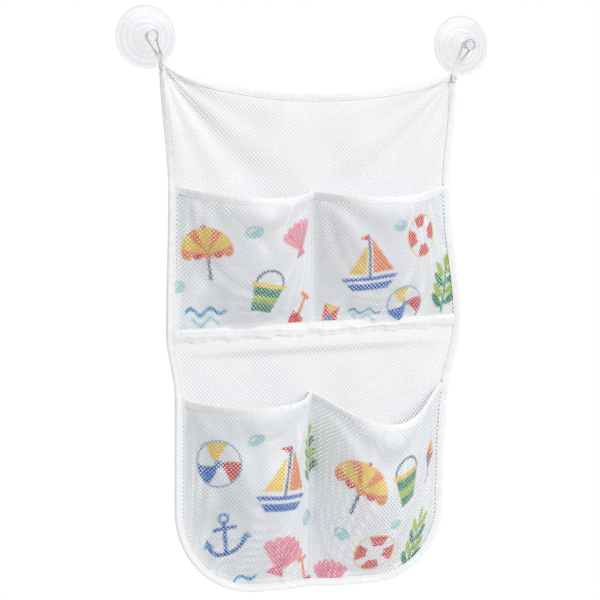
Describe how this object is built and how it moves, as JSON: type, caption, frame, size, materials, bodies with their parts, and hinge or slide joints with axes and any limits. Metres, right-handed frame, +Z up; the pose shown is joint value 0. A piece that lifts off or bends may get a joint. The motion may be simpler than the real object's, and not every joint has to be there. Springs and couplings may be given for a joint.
{
  "type": "hanging bath toy organizer",
  "caption": "White mesh wall organizer with two rows of twin pockets, bound edges, a rounded bottom, and corner loops that hook over clear suction cups; it swings out from the wall.",
  "frame": {"origin": "on the wall plane, midway between the middles of the two suction cups", "axes": "+Z up, +Y into the wall, so the pockets face -Y, and +X to the right as seen from the front"},
  "size_m": [0.344, 0.0497, 0.4909],
  "materials": {
    "mesh_cloth": "white knitted polyester mesh with small staggered holes",
    "printed_cloth": "the same mesh with a bright scattered seaside print",
    "tape": "white folded polyester binding tape, matt with a slight sheen",
    "thread": "white spun polyester thread",
    "clear_vinyl": "clear soft vinyl, glossy"
  },
  "bodies": {
    "wall_cups": {"left_suction_cup": "clear_vinyl", "right_suction_cup": "clear_vinyl"},
    "bag": {"back_panel": "mesh_cloth", "edge_binding": "tape", "top_binding": "tape", "upper_pocket_cloth": "printed_cloth", "upper_mouth_binding": "tape", "lower_pocket_cloth": "printed_cloth", "lower_mouth_binding": "tape", "left_loop": "tape", "right_loop": "tape", "edge_stitching": "thread", "top_stitching": "thread", "upper_mouth_stitching": "thread", "lower_mouth_stitching": "thread", "upper_divider_stitching": "thread", "lower_divider_stitching": "thread", "upper_foot_stitching": "thread", "left_loop_tack": "thread", "right_loop_tack": "thread"}
  },
  "joints": [
    {"name": "bag_swing", "type": "hinge", "parent": "wall_cups", "child": "bag", "pos_m": [0, -0.01225, 0.0043], "axis": [-1, 0, 0], "range_deg": [0, 75]}
  ]
}
